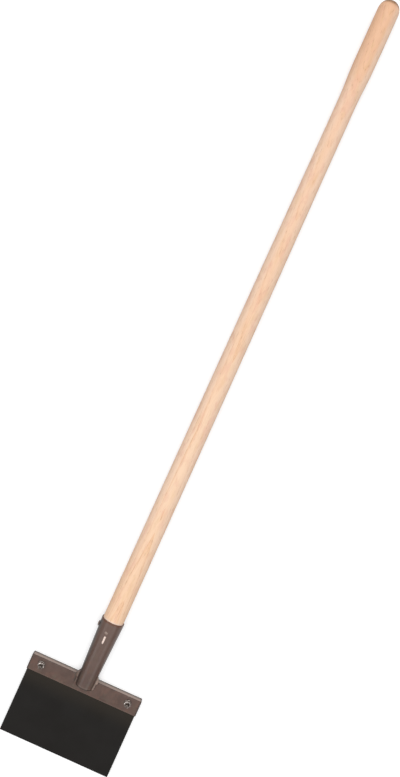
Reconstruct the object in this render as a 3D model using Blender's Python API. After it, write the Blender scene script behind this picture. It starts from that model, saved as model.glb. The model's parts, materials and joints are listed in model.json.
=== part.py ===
"""Grate spade: a long wooden handle in a tapered steel socket, which is welded to a steel angle that
carries a flat spring steel blade on two bolts. The foot of the socket is cut so that its front laps
over the leg of the angle while its back stands on the flange.

Metres, +Z up. The spade lies on its back: +Y runs from the blade to the grip, +X to the right of
someone who looks at the front, and the origin is on the floor under the middle of its length."""

import math

import bmesh
import bpy
from mathutils import Matrix, Vector

# Clearance between neighbouring pieces
FIT_GAP = 0.0003

# Handle, turned from one length of ash
HANDLE_DIAMETER = 0.0363
WAIST_DIAMETER = 0.0325
GRIP_DIAMETER = 0.0370
HANDLE_REACH = 1.143
BUTT_RISE = 0.006
GRIP_LENGTH = 0.110
GRIP_DOME = 0.018
SWELL_LENGTH = 0.082
WAIST_LENGTH = 0.050
TAPER_LENGTH = 0.480
BUTT_CHAMFER = 0.0015

# Socket, a cone rolled from sheet, with its joint at the back
SOCKET_WALL = 0.0015
SOCKET_RISE = 0.110
SOCKET_LAP = 0.012
SOCKET_END_DIAMETER = 0.0296
SOCKET_RIM_ROUND = 0.0004
SEAM_WIDTH = 0.0006
SLOT_LENGTH = 0.0160
SLOT_WIDTH = 0.0030
SLOT_DROP = 0.0312

# Angle that holds the blade: the leg is in front, the flange on top points backwards
HOLDER_OVERHANG = 0.001
HOLDER_THICKNESS = 0.003
LEG_HEIGHT = 0.0268
FLANGE_DEPTH = 0.014
ROOT_RADIUS = 0.002
TOE_RADIUS = 0.0012
CORNER_ROUND = 0.0006
AXIS_HEIGHT = 0.006

# Weld bead between socket and angle
WELD_REACH = 0.0043
SIDE_WELD_REACH = 0.0042
SHOULDER_REACH = 0.0064
SHOULDER_TOP = 0.0035
WELD_CLIMB = 0.0125
WELD_TIP_RADIUS = 0.0005

# Blade
BLADE_WIDTH = 0.200
BLADE_HEIGHT = 0.1368
BLADE_THICKNESS = 0.002
BLADE_EDGE_ROUND = 0.0002

# M6 bolts, washers and nuts
BOLT_DIAMETER = 0.006
BOLT_LENGTH = 0.020
BOLT_INSET = 0.020
BOLT_DROP = 0.0108
BOLT_HEAD_HEIGHT = 0.004
BOLT_TIP_CHAMFER = 0.0008
HEX_FLATS = 0.010
HEX_FACE_DIAMETER = 0.0092
HEX_CHAMFER_ANGLE = math.radians(30)
NUT_HEIGHT = 0.005
WASHER_DIAMETER = 0.012
WASHER_THICKNESS = 0.0016

# Screw through the socket's wall into the handle
SCREW_DROP = 0.014
SCREW_HEAD_DIAMETER = 0.010
SCREW_HEAD_HEIGHT = 0.0024
SCREW_DIAMETER = 0.0048
SCREW_LENGTH = 0.022
SCREW_POINT = 0.006

# Facets
ROUND_STEPS = 64
SMALL_ROUND_STEPS = 32
BEAD_STEPS = 16
BACK_BEAD_STEPS = 24

# Sizes that follow from those above
HOLDER_WIDTH = BLADE_WIDTH + 2 * HOLDER_OVERHANG
MOUTH_RADIUS = HANDLE_DIAMETER / 2 + FIT_GAP + SOCKET_WALL
SOCKET_END_RADIUS = SOCKET_END_DIAMETER / 2
SOCKET_LENGTH = SOCKET_RISE + SOCKET_LAP
TAPER_ANGLE = math.atan2(MOUTH_RADIUS - SOCKET_END_RADIUS, SOCKET_LENGTH)
BLADE_FRONT = -(HOLDER_THICKNESS + FIT_GAP)
BLADE_BACK = BLADE_FRONT - BLADE_THICKNESS
BLADE_TOP = -(HOLDER_THICKNESS + ROOT_RADIUS)
BLADE_BOTTOM = BLADE_TOP - BLADE_HEIGHT
HANDLE_TIP = SOCKET_RISE + HANDLE_REACH
HOLE_RADIUS = BOLT_DIAMETER / 2 + FIT_GAP
HEX_CORNER_RADIUS = HEX_FLATS / 2 / math.cos(math.pi / 6)
WORKING_ROOM = 2 * max(MOUTH_RADIUS, SOCKET_END_RADIUS)

# Places in the frame of the whole spade
LOWEST_UNDER_AXIS = max(AXIS_HEIGHT + FLANGE_DEPTH, MOUTH_RADIUS, GRIP_DIAMETER / 2)
AXIS_Z = LOWEST_UNDER_AXIS
LEG_FACE_Z = AXIS_Z - AXIS_HEIGHT
FLANGE_TOP_Y = -(HANDLE_TIP + BLADE_BOTTOM) / 2


def clear_scene():
    for old in list(bpy.data.objects):
        bpy.data.objects.remove(old, do_unlink=True)


def linear(channel):
    return channel / 12.92 if channel <= 0.04045 else ((channel + 0.055) / 1.055) ** 2.4


def finish(name, red, green, blue, roughness, metallic):
    """A plain surface in the colour of the real one, given as sRGB from 0 to 255."""
    material = bpy.data.materials.new(name)
    material.use_nodes = True
    shader = material.node_tree.nodes["Principled BSDF"]
    colour = [linear(value / 255) for value in (red, green, blue)]
    shader.inputs["Base Color"].default_value = (*colour, 1)
    shader.inputs["Roughness"].default_value = roughness
    shader.inputs["Metallic"].default_value = metallic
    material.diffuse_color = (*colour, 1)
    return material


def pivot(name, parent=None, location=(0, 0, 0), rotation=(0, 0, 0)):
    empty = bpy.data.objects.new(name, None)
    empty.parent = parent
    empty.location = location
    empty.rotation_euler = rotation
    bpy.context.scene.collection.objects.link(empty)
    return empty


def place(name, mesh, parent, location=(0, 0, 0), rotation=(0, 0, 0), material=None):
    placed = bpy.data.objects.new(name, mesh)
    placed.parent = parent
    placed.location = location
    placed.rotation_euler = rotation
    if material and not mesh.materials:
        mesh.materials.append(material)
    bpy.context.scene.collection.objects.link(placed)
    return placed


def cutter(name, mesh, parent, location=(0, 0, 0), rotation=(0, 0, 0)):
    tool = place(name, mesh, parent, location, rotation)
    tool.hide_render = True
    tool.display_type = "WIRE"
    return tool


def combine(target, tool, operation="DIFFERENCE"):
    modifier = target.modifiers.new(f"{operation.lower()} {tool.name}", "BOOLEAN")
    modifier.operation = operation
    modifier.solver = "EXACT"
    modifier.object = tool


def even_shading(target):
    """Keeps large faces flat in the shading where they run into a round or a hole."""
    modifier = target.modifiers.new("even shading", "WEIGHTED_NORMAL")
    modifier.mode = "FACE_AREA"
    modifier.keep_sharp = True


def mesh_of(bm, name):
    """Turns the finished shape into a mesh, faces outwards, round places smooth and edges sharp."""
    bmesh.ops.recalc_face_normals(bm, faces=bm.faces)
    mesh = bpy.data.meshes.new(name)
    bm.to_mesh(mesh)
    bm.free()
    mesh.shade_smooth()
    mesh.set_sharp_from_angle(angle=math.radians(35))
    return mesh


def joined_mesh(name, base, steps):
    """One mesh made of the base mesh and of the others that are added to it or taken from it."""
    body = place(name, base, None)
    tools = []
    for operation, mesh in steps:
        tools.append(cutter(mesh.name, mesh, None))
        combine(body, tools[-1], operation)
    bpy.context.view_layer.update()
    graph = bpy.context.evaluated_depsgraph_get()
    result = bpy.data.meshes.new_from_object(body.evaluated_get(graph))
    result.name = name
    for done in [body, *tools]:
        bpy.data.objects.remove(done, do_unlink=True)
    result.shade_smooth()
    result.set_sharp_from_angle(angle=math.radians(35))
    return result


def turned(name, profile, steps, closed=False):
    """Turns a profile of (radius, height) points once round the Z axis."""
    bm = bmesh.new()
    points = [bm.verts.new((radius, 0, height)) for radius, height in profile]
    links = list(zip(points, points[1:]))
    if closed:
        links.append((points[-1], points[0]))
    lines = [bm.edges.new(link) for link in links]
    bmesh.ops.spin(
        bm,
        geom=points + lines,
        cent=(0, 0, 0),
        axis=(0, 0, 1),
        dvec=(0, 0, 0),
        angle=2 * math.pi,
        space=Matrix.Identity(4),
        steps=steps,
        use_merge=True,
    )
    bmesh.ops.remove_doubles(bm, verts=bm.verts, dist=1e-7)
    return mesh_of(bm, name)


def block(name, low, high):
    """A box between two corners."""
    low, high = Vector(low), Vector(high)
    bm = bmesh.new()
    bmesh.ops.create_cube(bm, size=1)
    bmesh.ops.scale(bm, vec=high - low, verts=bm.verts)
    bmesh.ops.translate(bm, vec=(low + high) / 2, verts=bm.verts)
    return mesh_of(bm, name)


def drum(name, radius, low, high, steps):
    """A plain cylinder on the Z axis."""
    return turned(name, [(0, low), (radius, low), (radius, high), (0, high)], steps)


def extruded_ring(bm, ring):
    """Extrudes a ring of edges in place and returns the new ring's points and edges."""
    made = bmesh.ops.extrude_edge_only(bm, edges=ring)["geom"]
    points = [item for item in made if isinstance(item, bmesh.types.BMVert)]
    lines = [item for item in made if isinstance(item, bmesh.types.BMEdge)]
    known = set(points)
    return points, [line for line in lines if set(line.verts) <= known]


def dome(bm, ring, centre, outward, radius, steps=4):
    """Closes an open ring of a round bar with half a ball."""
    reached = 0.0
    size = 1.0
    for step in range(1, steps + 1):
        turn = math.pi / 2 * step / steps
        points, ring = extruded_ring(bm, ring)
        wanted = max(math.cos(turn), 1e-3)
        bmesh.ops.scale(
            bm,
            vec=Vector((1, 1, 1)) * (wanted / size),
            space=Matrix.Translation(-(centre + outward * reached)),
            verts=points,
        )
        bmesh.ops.translate(bm, vec=outward * (radius * math.sin(turn) - reached), verts=points)
        reached = radius * math.sin(turn)
        size = wanted
    bmesh.ops.pointmerge(bm, verts=points, merge_co=centre + outward * radius)


def ring_at(bm, centre, across, up, radius, steps):
    """A ring of edges in the plane of two directions."""
    points = []
    for step in range(steps):
        turn = 2 * math.pi * step / steps
        points.append(bm.verts.new(centre + (across * math.cos(turn) + up * math.sin(turn)) * radius))
    return [bm.edges.new((points[i], points[(i + 1) % steps])) for i in range(steps)]


def side_bead(name):
    """A bead beside the lap, from its domed lower end at height 0 up past the flange.

    It swells to a shoulder where it turns onto the flange, then thins out up the socket's side."""
    profile = []
    dome_steps = 4
    for step in range(dome_steps + 1):
        turn = math.pi / 2 * step / dome_steps
        profile.append((SIDE_WELD_REACH * math.sin(turn), -SIDE_WELD_REACH * math.cos(turn)))
    profile[0] = (0, -SIDE_WELD_REACH)
    swell_bottom = SOCKET_LAP - SHOULDER_REACH
    swell_steps = 4
    for step in range(swell_steps + 1):
        share = step / swell_steps
        radius = SIDE_WELD_REACH + (SHOULDER_REACH - SIDE_WELD_REACH) * eased(share, 1)
        profile.append((radius, swell_bottom + SHOULDER_REACH * share))
    profile.append((SHOULDER_REACH, SOCKET_LAP + SHOULDER_TOP))
    profile.append((WELD_TIP_RADIUS, SOCKET_LAP + WELD_CLIMB - WELD_TIP_RADIUS))
    profile.append((0, SOCKET_LAP + WELD_CLIMB))
    return turned(name, profile, BEAD_STEPS)


def curved_bead(name, ring_radius, start_angle, sweep, bead_radius, steps):
    """A round bar along part of a circle about the Z axis, domed at both ends."""
    bm = bmesh.new()
    outward = Vector((math.cos(start_angle), math.sin(start_angle), 0))
    first = ring_at(bm, outward * ring_radius, outward, Vector((0, 0, 1)), bead_radius, BEAD_STEPS)
    ring_points = list({point for line in first for point in line.verts})
    made = bmesh.ops.spin(
        bm,
        geom=ring_points + first,
        cent=(0, 0, 0),
        axis=(0, 0, 1),
        dvec=(0, 0, 0),
        angle=sweep,
        space=Matrix.Identity(4),
        steps=steps,
        use_merge=False,
    )
    last = [item for item in made["geom_last"] if isinstance(item, bmesh.types.BMEdge)]
    end_angle = start_angle + sweep
    end_outward = Vector((math.cos(end_angle), math.sin(end_angle), 0))
    forward = Vector((0, 0, 1)).cross(outward)
    end_forward = Vector((0, 0, 1)).cross(end_outward)
    dome(bm, first, outward * ring_radius, -forward, bead_radius)
    dome(bm, last, end_outward * ring_radius, end_forward, bead_radius)
    return mesh_of(bm, name)


def socket_radius(height):
    """Outer radius of the socket at a height above the flange."""
    share = (height + SOCKET_LAP) / SOCKET_LENGTH
    return SOCKET_END_RADIUS + (MOUTH_RADIUS - SOCKET_END_RADIUS) * share


def eased(share, softness):
    """Goes from 0 to 1 with its ends eased: softness 0 is a straight ramp, 1 a full ease."""
    return share - softness * math.sin(2 * math.pi * share) / (2 * math.pi)


def handle_profile():
    """Radius and height above the flange, from the butt in the socket to the rounded tip."""
    butt = BUTT_RISE
    swell_top = HANDLE_TIP - GRIP_LENGTH
    waist_top = swell_top - SWELL_LENGTH
    waist_bottom = waist_top - WAIST_LENGTH
    taper_bottom = waist_bottom - TAPER_LENGTH
    shaft, waist, grip = HANDLE_DIAMETER / 2, WAIST_DIAMETER / 2, GRIP_DIAMETER / 2
    butt_radius = socket_radius(butt) - SOCKET_WALL - FIT_GAP

    profile = [(0, butt), (butt_radius - BUTT_CHAMFER, butt), (butt_radius, butt + BUTT_CHAMFER)]
    profile.append((shaft, SOCKET_RISE))
    taper_steps = 12
    for step in range(taper_steps + 1):
        share = step / taper_steps
        radius = shaft + (waist - shaft) * eased(share, 0.5)
        profile.append((radius, taper_bottom + TAPER_LENGTH * share))
    swell_steps = 10
    for step in range(swell_steps + 1):
        share = step / swell_steps
        radius = waist + (grip - waist) * eased(share, 1)
        profile.append((radius, waist_top + SWELL_LENGTH * share))
    dome_steps = 9
    for step in range(dome_steps + 1):
        turn = math.pi / 2 * step / dome_steps
        profile.append((grip * math.cos(turn), HANDLE_TIP - GRIP_DOME * (1 - math.sin(turn))))
    profile[-1] = (0, HANDLE_TIP)
    return profile


def socket_profile():
    """The wall's four corners, with the rim at the mouth rounded."""
    mouth_in = MOUTH_RADIUS - SOCKET_WALL
    rim_middle = SOCKET_RIM_ROUND * (1 - math.cos(math.pi / 4))
    return [
        (SOCKET_END_RADIUS, -SOCKET_LAP),
        (MOUTH_RADIUS, SOCKET_RISE - SOCKET_RIM_ROUND),
        (MOUTH_RADIUS - rim_middle, SOCKET_RISE - rim_middle),
        (MOUTH_RADIUS - SOCKET_RIM_ROUND, SOCKET_RISE),
        (mouth_in, SOCKET_RISE),
        (SOCKET_END_RADIUS - SOCKET_WALL, -SOCKET_LAP),
    ]


def obround(name, width, length, low, high):
    """A bar with round ends in plan, its long side along Y."""
    bm = bmesh.new()
    first_turn = math.pi / SMALL_ROUND_STEPS
    points = []
    for step in range(SMALL_ROUND_STEPS):
        turn = first_turn + 2 * math.pi * step / SMALL_ROUND_STEPS
        shift = math.copysign((length - width) / 2, math.sin(turn))
        x, y = width / 2 * math.cos(turn), width / 2 * math.sin(turn) + shift
        points.append(bm.verts.new((x, y, low)))
    made = bmesh.ops.extrude_face_region(bm, geom=[bm.faces.new(points)])["geom"]
    lifted = [item for item in made if isinstance(item, bmesh.types.BMVert)]
    bmesh.ops.translate(bm, vec=(0, 0, high - low), verts=lifted)
    return mesh_of(bm, name)


def angle_mesh():
    """The angle: flange top at y = 0, front face of the leg at z = 0."""
    thick = HOLDER_THICKNESS
    corners = {
        "front": (0, 0),
        "flange edge top": (0, -FLANGE_DEPTH),
        "flange edge under": (-thick, -FLANGE_DEPTH),
        "root": (-thick, -thick),
        "leg edge back": (-LEG_HEIGHT, -thick),
        "leg edge front": (-LEG_HEIGHT, 0),
    }
    rounds = {
        "front": CORNER_ROUND,
        "flange edge under": TOE_RADIUS,
        "root": ROOT_RADIUS,
        "leg edge back": TOE_RADIUS,
        "leg edge front": CORNER_ROUND,
    }
    bm = bmesh.new()
    points = [bm.verts.new((-HOLDER_WIDTH / 2, y, z)) for y, z in corners.values()]
    made = bmesh.ops.extrude_face_region(bm, geom=[bm.faces.new(points)])["geom"]
    moved = [item for item in made if isinstance(item, bmesh.types.BMVert)]
    bmesh.ops.translate(bm, vec=(HOLDER_WIDTH, 0, 0), verts=moved)
    for corner, radius in rounds.items():
        y, z = corners[corner]
        long_edges = [
            edge
            for edge in bm.edges
            if all(abs(point.co.y - y) < 1e-6 and abs(point.co.z - z) < 1e-6 for point in edge.verts)
        ]
        bmesh.ops.bevel(
            bm,
            geom=long_edges,
            offset=radius,
            offset_type="OFFSET",
            affect="EDGES",
            segments=5,
            profile=0.5,
            material=-1,
        )
    return mesh_of(bm, "blade_holder")


def blade_mesh():
    """The blade: its front lies against the leg, its upper edge just clear of the root of the angle."""
    low = Vector((-BLADE_WIDTH / 2, BLADE_BOTTOM, BLADE_BACK))
    high = Vector((BLADE_WIDTH / 2, BLADE_TOP, BLADE_FRONT))
    bm = bmesh.new()
    bmesh.ops.create_cube(bm, size=1)
    bmesh.ops.scale(bm, vec=high - low, verts=bm.verts)
    bmesh.ops.translate(bm, vec=(low + high) / 2, verts=bm.verts)
    bmesh.ops.bevel(
        bm,
        geom=bm.edges[:],
        offset=BLADE_EDGE_ROUND,
        offset_type="OFFSET",
        affect="EDGES",
        segments=1,
        profile=0.5,
        material=-1,
    )
    return mesh_of(bm, "blade")


def hexagon(name, low, high):
    """A hexagonal bar across the flats, standing on a corner line along X."""
    return drum(name, HEX_CORNER_RADIUS, low, high, 6)


def hex_turning(name, low, high, chamfer_low, chamfer_high):
    """The turned shape that gives a hexagon its round chamfers."""
    face = HEX_FACE_DIAMETER / 2
    outside = HEX_CORNER_RADIUS + FIT_GAP
    rise = (outside - face) * math.tan(HEX_CHAMFER_ANGLE)
    profile = [(0, low)]
    profile += [(face, low), (outside, low + rise)] if chamfer_low else [(outside, low)]
    profile += [(outside, high - rise), (face, high)] if chamfer_high else [(outside, high)]
    profile.append((0, high))
    return turned(name, profile, SMALL_ROUND_STEPS)


def bolt_mesh():
    """Hexagon bolt: the underside of its head at z = 0, its shank upwards."""
    head = hexagon("bolt head", -BOLT_HEAD_HEIGHT, 0)
    turning = hex_turning("bolt head turning", -BOLT_HEAD_HEIGHT, 0, True, False)
    radius = BOLT_DIAMETER / 2
    sunk = BOLT_HEAD_HEIGHT / 2
    shank = turned(
        "bolt shank",
        [
            (0, -sunk),
            (radius, -sunk),
            (radius, BOLT_LENGTH - BOLT_TIP_CHAMFER),
            (radius - BOLT_TIP_CHAMFER, BOLT_LENGTH),
            (0, BOLT_LENGTH),
        ],
        SMALL_ROUND_STEPS,
    )
    return joined_mesh("bolt", head, [("INTERSECT", turning), ("UNION", shank)])


def nut_mesh():
    body = hexagon("nut body", 0, NUT_HEIGHT)
    turning = hex_turning("nut turning", 0, NUT_HEIGHT, True, True)
    bore = drum("nut bore", HOLE_RADIUS, -NUT_HEIGHT, 2 * NUT_HEIGHT, SMALL_ROUND_STEPS)
    return joined_mesh("nut", body, [("INTERSECT", turning), ("DIFFERENCE", bore)])


def washer_mesh():
    outside, thick = WASHER_DIAMETER / 2, WASHER_THICKNESS
    profile = [(HOLE_RADIUS, 0), (outside, 0), (outside, thick), (HOLE_RADIUS, thick)]
    return turned("washer", profile, SMALL_ROUND_STEPS, closed=True)


def screw_mesh():
    """Dome head screw: the underside of its head at z = 0, its shank downwards to a point."""
    head = SCREW_HEAD_DIAMETER / 2
    radius = SCREW_DIAMETER / 2
    profile = [(0, -SCREW_LENGTH), (radius, -SCREW_LENGTH + SCREW_POINT), (radius, 0), (head, 0)]
    rim = SCREW_HEAD_HEIGHT / 4
    dome_steps = 6
    for step in range(dome_steps + 1):
        turn = math.pi / 2 * step / dome_steps
        profile.append((head * math.cos(turn), rim + (SCREW_HEAD_HEIGHT - rim) * math.sin(turn)))
    profile[-1] = (0, SCREW_HEAD_HEIGHT)
    return turned("handle_screw", profile, SMALL_ROUND_STEPS)


clear_scene()
ash = finish("ash_wood", 243, 204, 171, 0.55, 0)
enamel = finish("brown_enamel", 104, 84, 77, 0.42, 0)
black_steel = finish("black_spring_steel", 48, 45, 42, 0.5, 0)
zinc = finish("zinc_plated_steel", 196, 190, 184, 0.32, 1)

spade = pivot("spade")
axis = pivot("axis", spade, (0, FLANGE_TOP_Y, AXIS_Z), (-math.pi / 2, 0, 0))
leg_face = pivot("leg_face", spade, (0, FLANGE_TOP_Y, LEG_FACE_Z))

# Where the screw passes the socket's wall on the left, square to the wall
screw_height = SOCKET_RISE - SCREW_DROP
screw_seat = pivot(
    "screw_seat",
    axis,
    (-(socket_radius(screw_height) + FIT_GAP), 0, screw_height),
    (0, -math.pi / 2 - TAPER_ANGLE, 0),
)
screw_way = drum(
    "screw_way",
    SCREW_DIAMETER / 2 + FIT_GAP,
    -SCREW_LENGTH - FIT_GAP,
    SCREW_HEAD_HEIGHT,
    SMALL_ROUND_STEPS,
)
screw_hole = cutter("screw_hole", screw_way, screw_seat)

# Handle
handle = place("handle", turned("handle", handle_profile(), ROUND_STEPS), axis, material=ash)
combine(handle, screw_hole)

# Socket: the saddle cut clears the angle, so that the back ends on the flange and the front laps the leg
socket_wall = turned("socket", socket_profile(), ROUND_STEPS, closed=True)
socket = place("socket", socket_wall, axis, material=enamel)
behind_leg_face = block(
    "saddle",
    (-WORKING_ROOM, -WORKING_ROOM, -WORKING_ROOM),
    (WORKING_ROOM, FIT_GAP, FIT_GAP),
)
saddle = cutter("saddle_cut", behind_leg_face, leg_face)
combine(socket, saddle)
slot_height = SOCKET_RISE - SLOT_DROP
through = SOCKET_WALL * 3
slot = cutter(
    "slot_cut",
    obround("slot", SLOT_WIDTH, SLOT_LENGTH, -through, through),
    axis,
    (0, -socket_radius(slot_height), slot_height),
    (math.pi / 2, 0, 0),
)
combine(socket, slot)
seam_box = block(
    "seam",
    (-SEAM_WIDTH / 2, SOCKET_END_RADIUS / 2, 0),
    (SEAM_WIDTH / 2, WORKING_ROOM, SOCKET_RISE + SOCKET_WALL),
)
combine(socket, cutter("seam_cut", seam_box, axis))
combine(socket, screw_hole)
even_shading(socket)

# Angle and blade, each with a hole for either bolt
bolt_x = BLADE_WIDTH / 2 - BOLT_INSET
holder = place("blade_holder", angle_mesh(), leg_face, material=enamel)
blade = place("blade", blade_mesh(), leg_face, material=black_steel)
bolt_way = drum("bolt_way", HOLE_RADIUS, BLADE_BACK * 2, -BLADE_BACK, SMALL_ROUND_STEPS)
bolt, washer, nut = bolt_mesh(), washer_mesh(), nut_mesh()
washer_z = FIT_GAP
nut_z = washer_z + WASHER_THICKNESS + FIT_GAP
for side, x in (("left", -bolt_x), ("right", bolt_x)):
    bolt_hole = cutter(f"bolt_hole_{side}", bolt_way, leg_face, (x, -BOLT_DROP, 0))
    combine(holder, bolt_hole)
    combine(blade, bolt_hole)
    even_shading(
        place(f"bolt_{side}", bolt, leg_face, (x, -BOLT_DROP, BLADE_BACK - FIT_GAP), material=zinc)
    )
    place(f"washer_{side}", washer, leg_face, (x, -BOLT_DROP, washer_z), material=zinc)
    even_shading(place(f"nut_{side}", nut, leg_face, (x, -BOLT_DROP, nut_z), material=zinc))
even_shading(holder)
even_shading(blade)

# Weld bead: up one side of the foot, round the back on the flange, and down the other side
foot_half = math.sqrt(socket_radius(-SOCKET_LAP) ** 2 - AXIS_HEIGHT**2)
flange_half = math.sqrt(socket_radius(0) ** 2 - AXIS_HEIGHT**2)
front_angle = math.atan2(AXIS_HEIGHT, flange_half)
lean = math.atan2(flange_half - foot_half, SOCKET_LAP)
back_bead = curved_bead(
    "back bead",
    socket_radius(0),
    front_angle,
    math.pi - 2 * front_angle,
    WELD_REACH,
    BACK_BEAD_STEPS,
)
weld = place("socket_weld", back_bead, axis, material=enamel)
for side, sign in (("left", -1), ("right", 1)):
    foot_corner = (sign * foot_half, AXIS_HEIGHT, -SOCKET_LAP)
    bead = cutter(f"bead_{side}", side_bead("side bead"), axis, foot_corner, (0, sign * lean, 0))
    combine(weld, bead, "UNION")
cone_outside = [
    (0, -SOCKET_LAP - FIT_GAP),
    (socket_radius(-SOCKET_LAP) + FIT_GAP, -SOCKET_LAP - FIT_GAP),
    (MOUTH_RADIUS + FIT_GAP, SOCKET_RISE),
    (0, SOCKET_RISE),
]
combine(weld, cutter("cone_cut", turned("cone", cone_outside, ROUND_STEPS), axis))
combine(weld, saddle)

# Screw that holds the handle in the socket
place("handle_screw", screw_mesh(), screw_seat, material=enamel)
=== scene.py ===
"""Grate spade on a white studio floor, seen from straight above as in the photograph.

The spade lies on its back: +Y runs from the blade to the grip, +X to the right of someone who looks
at the front, and +Z is up out of the front of the blade."""

import json
import math

import bmesh
import bpy
from mathutils import Matrix, Vector, noise

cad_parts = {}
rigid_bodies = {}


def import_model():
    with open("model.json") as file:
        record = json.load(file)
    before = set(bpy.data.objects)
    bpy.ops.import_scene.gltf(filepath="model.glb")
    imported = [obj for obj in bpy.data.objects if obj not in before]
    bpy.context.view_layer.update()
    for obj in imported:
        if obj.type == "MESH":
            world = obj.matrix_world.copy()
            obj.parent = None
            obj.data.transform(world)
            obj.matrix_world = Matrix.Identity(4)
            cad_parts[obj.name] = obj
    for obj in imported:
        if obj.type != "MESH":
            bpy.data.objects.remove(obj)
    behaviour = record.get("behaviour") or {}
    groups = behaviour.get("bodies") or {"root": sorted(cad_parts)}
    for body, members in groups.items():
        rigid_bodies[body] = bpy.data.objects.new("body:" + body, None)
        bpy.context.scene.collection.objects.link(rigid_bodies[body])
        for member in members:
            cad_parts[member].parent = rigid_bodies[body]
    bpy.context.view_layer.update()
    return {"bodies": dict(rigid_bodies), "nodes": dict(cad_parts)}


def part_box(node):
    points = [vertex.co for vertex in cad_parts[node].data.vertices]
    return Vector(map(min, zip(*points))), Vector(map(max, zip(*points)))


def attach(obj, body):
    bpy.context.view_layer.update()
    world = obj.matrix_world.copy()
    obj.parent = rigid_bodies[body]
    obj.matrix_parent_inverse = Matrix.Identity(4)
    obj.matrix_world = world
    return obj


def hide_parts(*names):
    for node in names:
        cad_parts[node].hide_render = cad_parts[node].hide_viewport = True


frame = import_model()
# The objects of the start-up scene go
kept = {*frame["nodes"].values(), *frame["bodies"].values()}
for other in [item for item in bpy.data.objects if item not in kept]:
    bpy.data.objects.remove(other, do_unlink=True)

MM = 0.001
FIT_GAP = 0.3 * MM

# Where the spade lies: its axis, the top of the flange and the front face of the leg
holder_low, holder_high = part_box("blade_holder")
handle_low, handle_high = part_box("handle")
blade_low, blade_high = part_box("blade")
FLANGE_Y = holder_high.y
LEG_Z = holder_high.z
AXIS_Z = (handle_low.z + handle_high.z) / 2
# Round shapes are made upright, height 0 at the flange and front towards -Y, then laid on the axis
ON_AXIS = Matrix.Translation((0, FLANGE_Y, AXIS_Z)) @ Matrix.Rotation(-math.pi / 2, 4, "X")
AXIS_HEIGHT = AXIS_Z - LEG_Z

# Handle
HANDLE_RADIUS = 18.15 * MM
WAIST_RADIUS = 16.25 * MM
GRIP_RADIUS = (handle_high.x - handle_low.x) / 2
# The grip is rounded off a little shorter than the solid's, as the photograph shows
TIP_TURNED_OFF = 1.2 * MM
HANDLE_TIP = handle_high.y - TIP_TURNED_OFF - FLANGE_Y
HANDLE_BUTT = handle_low.y - FLANGE_Y
GRIP_LENGTH = 110 * MM
GRIP_DOME = 18 * MM
# 1 is an ellipse, and less is blunter
DOME_FULLNESS = 0.74
SWELL_LENGTH = 82 * MM
WAIST_LENGTH = 50 * MM
# Height above the flange and radius, in millimetres, where the handle was measured
TAPER_STATIONS = ((150, 18.15), (290, 18.05), (423, 17.8), (592, 17.5), (760, 17.1), (930, 16.45))
BUTT_CHAMFER = 1.5 * MM
HANDLE_STEPS = 128
CURVE_STEPS = 24
JOINT_STEPS = 6
JOINT_REACH = 0.3

# Grain of the wood: rings round a pith behind the handle, a little to the left, that bows and sways
RING_PITCH = 2.4 * MM
PITH = Vector((-6, 0, -45)) * MM
GRAIN_SWAY = Vector((7, 0, 7)) * MM
# The pith goes back by this much times the square of the distance from the middle of its bow
GRAIN_BOW = Vector((0, 0, 0.045))
BOW_MIDDLE = -0.145

# Socket
SOCKET_WALL = 1.5 * MM
SOCKET_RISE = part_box("socket")[1].y - FLANGE_Y
SOCKET_LAP = FLANGE_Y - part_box("socket")[0].y
SOCKET_LENGTH = SOCKET_RISE + SOCKET_LAP
MOUTH_Y = FLANGE_Y + SOCKET_RISE
FOOT_Y = FLANGE_Y - SOCKET_LAP
MOUTH_RADIUS = HANDLE_RADIUS + FIT_GAP + SOCKET_WALL
FOOT_RADIUS = 15.0 * MM
TAPER_ANGLE = math.atan2(MOUTH_RADIUS - FOOT_RADIUS, SOCKET_LENGTH)
SEAM_WIDTH = 0.3 * MM
SLOT_LENGTH = 14.2 * MM
SLOT_WIDTH = 3.5 * MM
SLOT_ASIDE = -1.6 * MM
SLOT_HEIGHT = SOCKET_RISE - 31.2 * MM
SLOT_MARGIN_COLUMNS = 5
SLOT_MARGIN = 1.8 * MM
SHEET_COLUMNS = 180
# Columns from the front of the socket to its notch
NOTCH_COLUMN = 56
LAP_ROWS = 10
BODY_ROWS = 84
CUT_EDGE_ROUND = 0.35 * MM
CUT_EDGE_ANGLE = math.radians(50)

# Weld
WELD_REACH = 4.3 * MM
SIDE_WELD_REACH = 4.2 * MM
SHOULDER_REACH = 6.4 * MM
SHOULDER_TOP = 3.5 * MM
WELD_CLIMB = 12.5 * MM
WELD_TIP = 0.5 * MM
WELD_STEPS = 24
BEAD_STEPS = 6
SHOULDER_STEPS = 8
WELD_GRAIN = 0.45 * MM
WELD_SMOOTHINGS = 6
WELD_LUMPS = 2 * MM
RIPPLE_PITCH = 2.4 * MM
RIPPLE_HEIGHT = 0.22 * MM
DAB_SIZE = Vector((6.4, 5.2, 2.0)) * MM
DAB_SUNK = 0.3 * MM
DAB_ASIDE = -2.6 * MM
DAB_DROP = 18.4 * MM
DAB_LUMPS = 2.5 * MM
DAB_UNEVEN = 0.12

# Angle and blade
HOLDER_THICKNESS = 3 * MM
TOE_RADIUS = 1.2 * MM
ROOT_RADIUS = 2 * MM
CORNER_ROUND = 1.1 * MM
END_ROUND = 0.35 * MM
BLADE_EDGE_ROUND = 0.3 * MM

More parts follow.
